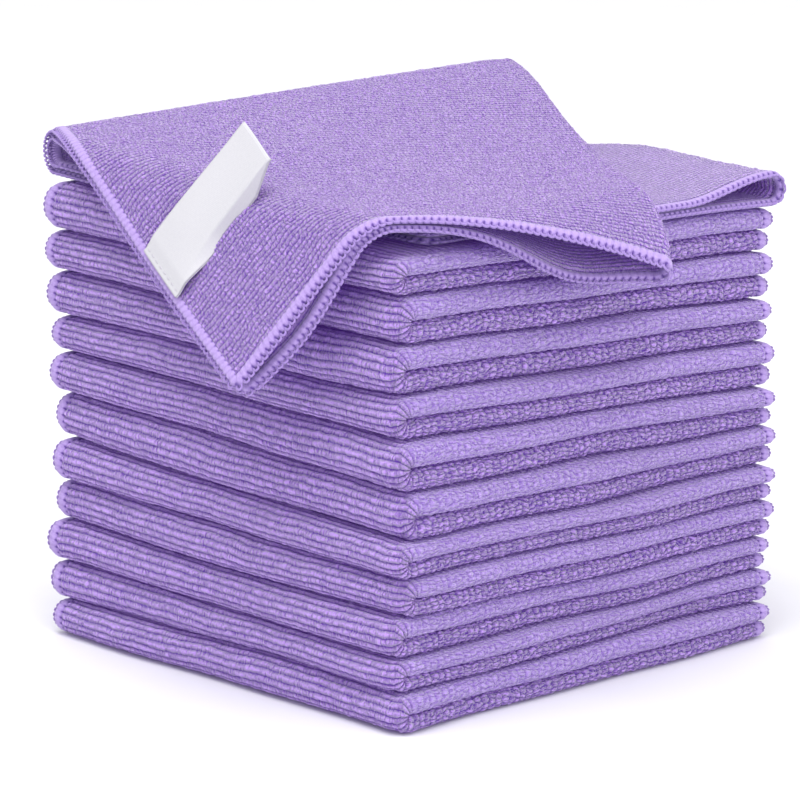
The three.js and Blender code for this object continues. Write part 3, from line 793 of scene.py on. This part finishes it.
def quarterHemPath():
    centre = cloth["flatHalf"] - cloth["hemCover"] + overlock["bandWidth"] / 2
    corners = [(-centre, -centre), (centre, -centre), (centre, centre), (-centre, centre)]
    return roundedPath(corners, 3.0, True)


# ---- materials ----
def newMaterial(name, constants):
    material = bpy.data.materials.new(name)
    material.use_nodes = True
    tree = material.node_tree
    shader = tree.nodes["Principled BSDF"]
    for socket, value in constants.items():
        shader.inputs[socket].default_value = value
    return material, tree, shader


microfibre = {
    "crown": "#BC97E7",
    # groove is painted shade, mixed in where the knit sinks
    "groove": "#582FA0",
    "paintedLitLobe": "#BCA0E6",    # painted light: the upper lobe of the right face, paler as if lit from above
    "sheen": "#FBF8FF",
    "paintedFillGlow": "#8048C8",      # painted fill light: a purple glow that lifts the dark grooves, standing in for light bounced inside the pile
    "standingYarns": (3.6, 1.3, 1.0),   # yarns to a loop and to a rib
    "litLobeYarns": (3.4, 2.0, 1.0),
    "fuzz": 1700.0,         # fibres to a metre
    "bump": 0.001,
}


def microfibreTerry():
    # split polyester and polyamide fibre: soft loops, matt, with a pale bloom where they turn away
    material, tree, shader = newMaterial("microfibre terry", {
        "Roughness": 0.95,
        "Specular IOR Level": 0.15,
        "Sheen Weight": 0.75,
        "Sheen Roughness": 0.35,
        "Sheen Tint": linearColour(microfibre["sheen"]),
        # painted fill light: the cloth glows faintly purple, so its shaded grooves stay lit
        "Emission Color": linearColour(microfibre["paintedFillGlow"]),
        "Emission Strength": 0.13,
    })
    marks = {name: addNode(tree, "ShaderNodeAttribute", {"attribute_name": name})
             for name in ("weave", "opened", "paintedLitLobe", "clumped")}
    weave = marks["weave"].outputs["Vector"]
    opened, paintedLitLobe, clumped = (marks[name].outputs["Fac"] for name in ("opened", "paintedLitLobe", "clumped"))
    height = knitHeight(tree, weave, opened, clumped)
    place = addNode(tree, "ShaderNodeTexCoord").outputs["Object"]
    # yarns of some 0.5 mm side by side in a loop, and single fibres drawn coarser than they are
    yarns = []
    for scales, detail in ((microfibre["standingYarns"], 2.0), (microfibre["litLobeYarns"], 3.0)):
        stretched = addNode(tree, "ShaderNodeVectorMath", {"operation": "MULTIPLY"}, (weave, scales))
        noise = addNode(tree, "ShaderNodeTexNoise", {},
                        {"Vector": stretched, "Scale": 1.0, "Detail": detail})
        yarns.append(noise.outputs["Fac"])
    fuzz = addNode(tree, "ShaderNodeTexNoise", {},
                   {"Vector": place, "Scale": microfibre["fuzz"], "Detail": 3.0}).outputs["Fac"]
    # painted shade: dark in the grooves and between yarns, full colour on the crowns
    yarnShade = addNode(tree, "ShaderNodeMapRange", {}, (yarns[0], 0.36, 0.58, 0.5, 1.0))
    fuzzShade = addNode(tree, "ShaderNodeMath", {"operation": "MULTIPLY_ADD"}, (fuzz, 0.7, 0.68))
    crownShade = addNode(tree, "ShaderNodeMath", {"operation": "MULTIPLY"}, (yarnShade, fuzzShade))
    above = addNode(tree, "ShaderNodeMath", {"operation": "MAXIMUM"}, (height, 0.0))
    raised = addNode(tree, "ShaderNodeMath", {"operation": "POWER"}, (above, 1.15))
    loopShade = addNode(tree, "ShaderNodeMath", {"operation": "MULTIPLY"}, (raised, crownShade))
    standing = addNode(tree, "ShaderNodeMapRange", {}, (loopShade, 0.14, 0.68, 0.0, 1.0))
    # painted light: on the upper lobe the shade is weaker and the colour paler, as if lit from above
    litLobeShade = addNode(tree, "ShaderNodeMapRange", {}, (yarns[1], 0.35, 0.6, 0.45, 1.0))
    smooth = addNode(tree, "ShaderNodeMath", {"operation": "MULTIPLY"}, (paintedLitLobe, 0.5))
    depth = addNode(tree, "ShaderNodeMix", {"data_type": "FLOAT"}, {0: smooth, 2: standing, 3: litLobeShade})
    crown = addNode(tree, "ShaderNodeMix", {"data_type": "RGBA"},
                    {"Factor": paintedLitLobe, 6: linearColour(microfibre["crown"]),
                     7: linearColour(microfibre["paintedLitLobe"])})
    mixed = addNode(tree, "ShaderNodeMix", {"data_type": "RGBA"},
                    {"Factor": depth, 6: linearColour(microfibre["groove"]), 7: crown.outputs[2]})
    tree.links.new(mixed.outputs[2], shader.inputs["Base Color"])
    yarnRelief = addNode(tree, "ShaderNodeMath", {"operation": "MULTIPLY_ADD"}, (yarns[0], 0.8, depth))
    relief = addNode(tree, "ShaderNodeMath", {"operation": "MULTIPLY_ADD"}, (fuzz, 0.5, yarnRelief))
    bump = addNode(tree, "ShaderNodeBump", {},
                   {"Strength": 1.0, "Distance": microfibre["bump"], "Height": relief})
    tree.links.new(bump.outputs[0], shader.inputs["Normal"])
    return material


threadLook = {
    "light": "#B299D6",
    "dark": "#5F4098",
    "strands": 3.2,         # strands of the thread to a millimetre
    "fibre": 1500.0,
    "rim": (0.24, 0.42),    # where the painted shade dots start and are full, as shares of the band's width
}


def overlockThread():
    # textured polyester thread, wound side by side: a satin band with fine cross lines
    material, tree, shader = newMaterial("overlock thread", {
        "Roughness": 0.75,
        "Specular IOR Level": 0.3,
        "Sheen Weight": 0.3,
        "Sheen Tint": linearColour(microfibre["sheen"]),
    })
    along, across = (addNode(tree, "ShaderNodeAttribute", {"attribute_name": name}).outputs["Fac"]
                     for name in ("threadAlong", "threadAcross"))
    wrap = wrapHeight(tree, along, across)
    place = addNode(tree, "ShaderNodeTexCoord").outputs["Object"]
    drawnOut = addNode(tree, "ShaderNodeMath", {"operation": "MULTIPLY"}, (across, 0.25))
    lay = addNode(tree, "ShaderNodeCombineXYZ", {}, (along, drawnOut))
    strands = addNode(tree, "ShaderNodeTexNoise", {},
                      {"Vector": lay, "Scale": threadLook["strands"], "Detail": 2.0})
    fibre = addNode(tree, "ShaderNodeTexNoise", {},
                    {"Vector": place, "Scale": threadLook["fibre"], "Detail": 3.0})
    # painted shade: both rims of the band are dotted dark between the wraps, where the holes lie in shade
    fromMiddle = addNode(tree, "ShaderNodeMath", {"operation": "ABSOLUTE"}, (across,))
    first, last = (overlock["bandWidth"] * share for share in threadLook["rim"])
    rimward = addNode(tree, "ShaderNodeMapRange", {}, (fromMiddle, first, last, 0.0, 1.3))
    between = addNode(tree, "ShaderNodeMath", {"operation": "SUBTRACT"}, (1.0, wrap))
    paintedHoleShade = addNode(tree, "ShaderNodeMath", {"operation": "MULTIPLY"}, (rimward, between))
    # painted shade: the wraps' crowns lighter, the dips between them darker
    wrapShade = addNode(tree, "ShaderNodeMath", {"operation": "MULTIPLY"}, (wrap, 0.28))
    strandShade = addNode(tree, "ShaderNodeMath", {"operation": "MULTIPLY_ADD"},
                          (strands.outputs["Fac"], 0.75, wrapShade))
    fibreShade = addNode(tree, "ShaderNodeMath", {"operation": "MULTIPLY_ADD"},
                         (fibre.outputs["Fac"], 0.45, strandShade))
    shade = addNode(tree, "ShaderNodeMath", {"operation": "SUBTRACT"}, (fibreShade, paintedHoleShade))
    mixed = addNode(tree, "ShaderNodeMix", {"data_type": "RGBA"},
                    {"Factor": shade, 6: linearColour(threadLook["dark"]),
                     7: linearColour(threadLook["light"])})
    tree.links.new(mixed.outputs[2], shader.inputs["Base Color"])
    bump = addNode(tree, "ShaderNodeBump", {}, {"Strength": 0.7, "Distance": 0.0003, "Height": shade})
    tree.links.new(bump.outputs[0], shader.inputs["Normal"])
    return material


labelLook = {
    "dark": "#BDBCC3",
    "light": "#C9C8CD",
    "weft": 0.35,           # mm between the ribbon's cross threads
    "threadDark": "#A9A6B0",
    "threadLight": "#C4C2CA",
}


def labelSatin():
    # woven polyester satin ribbon: smooth and white, with a fine crosswise grain
    material, tree, shader = newMaterial("polyester satin ribbon", {
        "Roughness": 0.42,
        "Specular IOR Level": 0.45,
        "Sheen Weight": 0.1,
    })
    place = addNode(tree, "ShaderNodeAttribute", {"attribute_name": "weave"}).outputs["Vector"]
    parts = addNode(tree, "ShaderNodeSeparateXYZ", {}, (place,))
    angle = addNode(tree, "ShaderNodeMath", {"operation": "MULTIPLY"},
                    (parts.outputs[1], 2 * math.pi / labelLook["weft"]))
    weft = addNode(tree, "ShaderNodeMath", {"operation": "SINE"}, (angle,))
    slub = addNode(tree, "ShaderNodeTexNoise", {}, {"Vector": place, "Scale": 1.5, "Detail": 4.0})
    relief = addNode(tree, "ShaderNodeMath", {"operation": "MULTIPLY_ADD"}, (slub.outputs["Fac"], 2.0, weft))
    mixed = addNode(tree, "ShaderNodeMix", {"data_type": "RGBA"},
                    {"Factor": slub.outputs["Fac"], 6: linearColour(labelLook["dark"]),
                     7: linearColour(labelLook["light"])})
    tree.links.new(mixed.outputs[2], shader.inputs["Base Color"])
    bump = addNode(tree, "ShaderNodeBump", {}, {"Strength": 0.25, "Distance": 0.0002, "Height": relief})
    tree.links.new(bump.outputs[0], shader.inputs["Normal"])
    return material


def labelThread():
    # white spun polyester sewing thread: dull, with a fine fuzz
    material, tree, shader = newMaterial("white sewing thread", {"Roughness": 0.6})
    place = addNode(tree, "ShaderNodeTexCoord").outputs["Object"]
    fibre = addNode(tree, "ShaderNodeTexNoise", {}, {"Vector": place, "Scale": 2500.0, "Detail": 2.0})
    mixed = addNode(tree, "ShaderNodeMix", {"data_type": "RGBA"},
                    {"Factor": fibre.outputs["Fac"], 6: linearColour(labelLook["threadDark"]),
                     7: linearColour(labelLook["threadLight"])})
    tree.links.new(mixed.outputs[2], shader.inputs["Base Color"])
    return material


def paperSweep():
    # matt white paper, with next to no grain
    material, tree, shader = newMaterial("white paper sweep", {"Roughness": 0.9})
    place = addNode(tree, "ShaderNodeTexCoord").outputs["Object"]
    grain = addNode(tree, "ShaderNodeTexNoise", {}, {"Vector": place, "Scale": 40.0})
    mixed = addNode(tree, "ShaderNodeMix", {"data_type": "RGBA"},
                    {"Factor": grain.outputs["Fac"], 6: linearColour(studio["paperDark"]),
                     7: linearColour(studio["paperLight"])})
    tree.links.new(mixed.outputs[2], shader.inputs["Base Color"])
    return material


# ---- building ----
terry = microfibreTerry()
thread = overlockThread()
knitted = pileTree(terry)
hemmed = hemTree(thread)


def makeFoldedTowels():
    flat = quarterCloth()
    path = pathObject("hemPath", quarterHemPath(), True)
    hemMesh = evaluated(path, hemmed)
    hemFlat = pointsOf(hemMesh)
    for k in range(1, pile["count"] + 1):
        mesh = evaluated(flat, knitted, Seed=k)
        towel = placed(f"foldedTowel_{k:02d}", mesh, foldedPlace(k, pointsOf(mesh)))
        hem = placed(f"foldedHem_{k:02d}", hemMesh.copy(), foldedPlace(k, hemFlat))
        for piece, node, slot in ((towel, "towel", "microfibre"), (hem, "hem", "overlock_thread")):
            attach(piece, f"towel_{k:02d}")
            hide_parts(f"{node}_{k:02d}")
    bpy.data.meshes.remove(hemMesh)
    for scratch in (flat, path):
        bpy.data.objects.remove(scratch)


def sewn(name, flat, tree, fold, **values):
    # a flat object run through a tree and then folded to its place
    mesh = evaluated(flat, tree, **values)
    bpy.data.objects.remove(flat)
    return placed(name, mesh, fold(pointsOf(mesh)))


def makeTopTowel():
    rim = cloth["hemWidth"] - cloth["hemCover"]
    fine = {"Band step": overlock["fineStep"], "Thickness": drape["layer"] - 0.1}
    lowerFlat = pairCloth("flatLower", 0.0, lowerReach - rim, np.zeros_like, 0.9, 3.0)
    lower = sewn("topTowelLowerHalf", lowerFlat, knitted, lowerFold, Seed=31)
    lowerPath = pathObject("lowerPath", pairHemPath(0, lowerReach, 3.0), False)
    lowerHem = sewn("topHemLower", lowerPath, hemmed, lowerFold, **fine)
    upperStart = float(creaseAt(drape["side"])) - 1
    upperFlat = pairCloth("flatUpper", upperStart, drape["reach"] - rim, creaseAt, 0.57, 2.4)
    upper = sewn("topTowelUpperHalf", upperFlat, knitted, flapFold, Seed=40)
    upperPath = pathObject("upperPath", pairHemPath(-4, drape["reach"], 1.3), False)
    upperHem = sewn("topHemUpper", upperPath, hemmed, flapFold, **fine)
    for piece, node in ((lower, "top_towel_lower_half"), (lowerHem, "top_hem_lower")):
        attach(piece, "top_towel")
        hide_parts(node)
    for piece, node in ((upper, "top_towel_upper_half"), (upperHem, "top_hem_upper")):
        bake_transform(piece)
        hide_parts(node)


# ---- the care label ----
label = {
    "from": 71.5,           # along the hem
    "to": 92.0,
    "seam": 3.5,            # how far in from the edge it is sewn
    "length": 47.0,
    "thickness": 0.28,      # of the ribbon, which is doubled
    "gap": 0.5,
    "creaseBase": 19.3,     # where the lengthwise crease starts, from the left edge
    "creaseTip": 16.6,
    "creaseAngle": 64.0,    # degrees that the strip beyond the crease is turned down
    "cornerCut": 3.4,
    "turnFlat": 0.8,        # half the ribbon in its far fold
    "wave": 0.5,
    "bend": (0.2, 4.0),     # along the ribbon: where its first stretch starts and ends
    "stitches": 8,
    "stitchInset": 1.6,
    "columns": 42,
    "rows": 80,             # in each of its layers
}


def labelPlace(flat):
    # s across, q along: out over the face, round the far fold and back underneath
    s, q, h = flat[:, 0], flat[:, 1], flat[:, 2]
    length, radius = label["length"], label["gap"] / 2
    far = length - np.abs(q)
    turn = label["turnFlat"]
    psi = (np.clip(q / turn, -1, 1) + 1) * math.pi / 2
    lift = radius * 2 + label["thickness"] * 1.5 - radius + (radius + h) * np.cos(psi)
    along = far + np.where(np.abs(q) < turn, (radius + h) * np.sin(psi), 0)
    cut = label["cornerCut"] * np.clip((along - length + 11) / 10, 0, 1) * smoothStep(s, 15.5, 20.5)
    across = s - cut
    fold = label["creaseBase"] + (label["creaseTip"] - label["creaseBase"]) * np.clip(along / 20, 0, 1)
    beyond = np.maximum(across - fold, 0)
    turned = math.radians(label["creaseAngle"]) * smoothStep(along, 2, 26)
    lift = lift - beyond * np.sin(turned)
    across = np.minimum(across, fold) + beyond * np.cos(turned)
    wave = np.sin(along / 9) * np.sin(across / 5 + 0.6) * smoothStep(along, 3, 15)
    lift = lift + label["wave"] * wave
    # the ribbon leaves the cloth at its seam in the direction that the cloth has there
    u = label["from"] + across
    flush = np.zeros_like(u)
    seam = flush + label["seam"]
    middle = flush + (label["from"] + label["to"]) / 2
    start = flapPlace(u, seam, flush)
    way = flapPlace(u, seam + 1, flush) - start
    side = flapPlace(middle + 1, seam, flush) - flapPlace(middle, seam, flush)
    way /= np.linalg.norm(way, axis=1, keepdims=True)
    up = np.cross(side, way)
    up /= np.linalg.norm(up, axis=1, keepdims=True)
    return start + way * along[:, None] + up * (lift + 0.35 + 0.9 * smoothStep(along, 1, 6))[:, None]


def makeLabel(finish, threadFinish):
    width, length = label["to"] - label["from"], label["length"]
    sRow = np.linspace(0, width, label["columns"])
    outer = np.linspace(-length, -1, label["rows"])
    inner = np.linspace(1, length, label["rows"])
    qRow = np.concatenate([outer[:-1], np.linspace(-1, 1, 13), inner[1:]])
    gridS, gridQ = np.meshgrid(sRow, qRow, indexing="ij")
    flat = np.stack([gridS, gridQ], -1).reshape(-1, 2)
    count = len(qRow)
    corner = (np.arange(len(sRow) - 1)[:, None] * count + np.arange(count - 1)).ravel()
    faces = np.stack([corner, corner + count, corner + count + 1, corner + 1], -1).tolist()
    back = [(s, q) for s in sRow[1:-1] for q in qRow[1:-1:2]]
    ribbon = clothMesh("flatLabel", flat, [tuple(f) for f in faces], back, label["thickness"],
                       np.ones(len(flat)), {}, lambda p: p)
    piece = sewn("careLabel", ribbon, dressTree(finish), labelPlace)
    inset = label["stitchInset"]
    spots = [(s, inset - length) for s in np.linspace(inset, width - inset, label["stitches"])]
    line = pathObject("stitchLine", spots, False)
    stitches = sewn("labelStitches", line, stitchTree(threadFinish), labelPlace)
    # the sewn end stays in the hem; the points where the ribbon's first millimetres start and end
    start, end = (tuple(labelPlace(np.array([[width / 2, along - length, 0.0]]))[0] / metre)
                  for along in label["bend"])
    for obj, node, slot in ((piece, "care_label", "label_satin"),
                            (stitches, "label_stitching", "label_thread")):
        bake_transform(obj)
        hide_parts(node)


def dressTree(finish):
    tree, given, result = geometryTree("dressed", [])
    plain = addNode(tree, "GeometryNodeRealizeInstances", {}, {"Geometry": given.outputs["Geometry"]})
    dressed = addNode(tree, "GeometryNodeSetMaterial", {}, {"Geometry": plain, "Material": finish})
    tree.links.new(dressed.outputs[0], result.inputs[0])
    return tree


def stitchTree(finish):
    # a short rounded stitch at every point of a line
    tree, given, result = geometryTree("labelStitch", [("Stitch length", "NodeSocketFloat", 1.7)])
    ball = addNode(tree, "GeometryNodeMeshUVSphere", {}, {"Segments": 12, "Rings": 8, "Radius": 0.5})
    size = addNode(tree, "ShaderNodeCombineXYZ", {}, {0: given.outputs["Stitch length"], 1: 0.5, 2: 0.4})
    stitch = addNode(tree, "GeometryNodeTransform", {}, {"Geometry": ball, "Scale": size})
    lifted = addNode(tree, "GeometryNodeSetPosition", {},
                     {"Geometry": stitch, "Offset": (0.0, 0.0, label["thickness"] / 2)})
    many = addNode(tree, "GeometryNodeInstanceOnPoints", {},
                   {"Points": given.outputs["Geometry"], "Instance": lifted})
    plain = addNode(tree, "GeometryNodeRealizeInstances", {}, {"Geometry": many})
    dressed = addNode(tree, "GeometryNodeSetMaterial", {}, {"Geometry": plain, "Material": finish})
    tree.links.new(dressed.outputs[0], result.inputs[0])
    return tree


makeFoldedTowels()
print("folded towels made")
makeTopTowel()
print("top towel made")
makeLabel(labelSatin(), labelThread())
print("label made")

# ---- stage ----
studio = {
    "skyStrength": 1.0,
    "keyPower": 18.5,
    "fillPower": 5.0,
    "floorHalf": 6.0,       # metres
    "floorDrop": 0.0002,
    "paperDark": "#E9E9ED",
    "paperLight": "#EDEDF1",
}


def addArea(name, place, target, size, power):
    light = bpy.data.lights.new(name, "AREA")
    light.shape = "DISK"
    light.size = size
    light.energy = power
    obj = bpy.data.objects.new(name, light)
    obj.location = place
    away = np.array(place) - np.array(target)
    tilt = math.atan2(math.hypot(away[0], away[1]), away[2])
    obj.rotation_euler = (tilt, 0, math.atan2(away[0], -away[1]))
    bpy.context.scene.collection.objects.link(obj)


def makeStage():
    mesh = bpy.data.meshes.new("floor")
    size = studio["floorHalf"]
    corners = [(-size, -size, 0), (size, -size, 0), (size, size, 0), (-size, size, 0)]
    mesh.from_pydata(corners, [], [(0, 1, 2, 3)])
    mesh.materials.append(paperSweep())
    floor = bpy.data.objects.new("floor", mesh)
    floor.location.z = -studio["floorDrop"]
    bpy.context.scene.collection.objects.link(floor)
    world = bpy.data.worlds.new("studio")
    world.use_nodes = True
    background = world.node_tree.nodes["Background"]
    background.inputs["Color"].default_value = (1, 1, 1, 1)
    background.inputs["Strength"].default_value = studio["skyStrength"]
    bpy.context.scene.world = world
    addArea("softbox", (0.3, -0.5, 1.6), (0, 0, 0.1), 1.2, studio["keyPower"])
    addArea("fill", (1.4, -0.2, 0.6), (0, 0, 0.08), 0.8, studio["fillPower"])


eye = {
    "azimuth": 46.5,
    "distance": 1.45,
    "height": 0.4093,
    "pitch": 13.13,
    "lens": 230.9,
    "shift": -0.013,
}


def makeCamera():
    data = bpy.data.cameras.new("camera")
    data.lens = eye["lens"]
    data.sensor_width = 36.0
    data.shift_x = eye["shift"]
    data.clip_start, data.clip_end = 0.05, 50.0
    camera = bpy.data.objects.new("camera", data)
    turn = math.radians(eye["azimuth"])
    camera.location = (math.sin(turn) * eye["distance"], -math.cos(turn) * eye["distance"], eye["height"])
    camera.rotation_euler = (math.radians(90 - eye["pitch"]), 0, turn)
    bpy.context.scene.collection.objects.link(camera)
    bpy.context.scene.camera = camera


makeStage()
makeCamera()
bpy.context.scene.view_settings.view_transform = "Standard"
print("stage made")
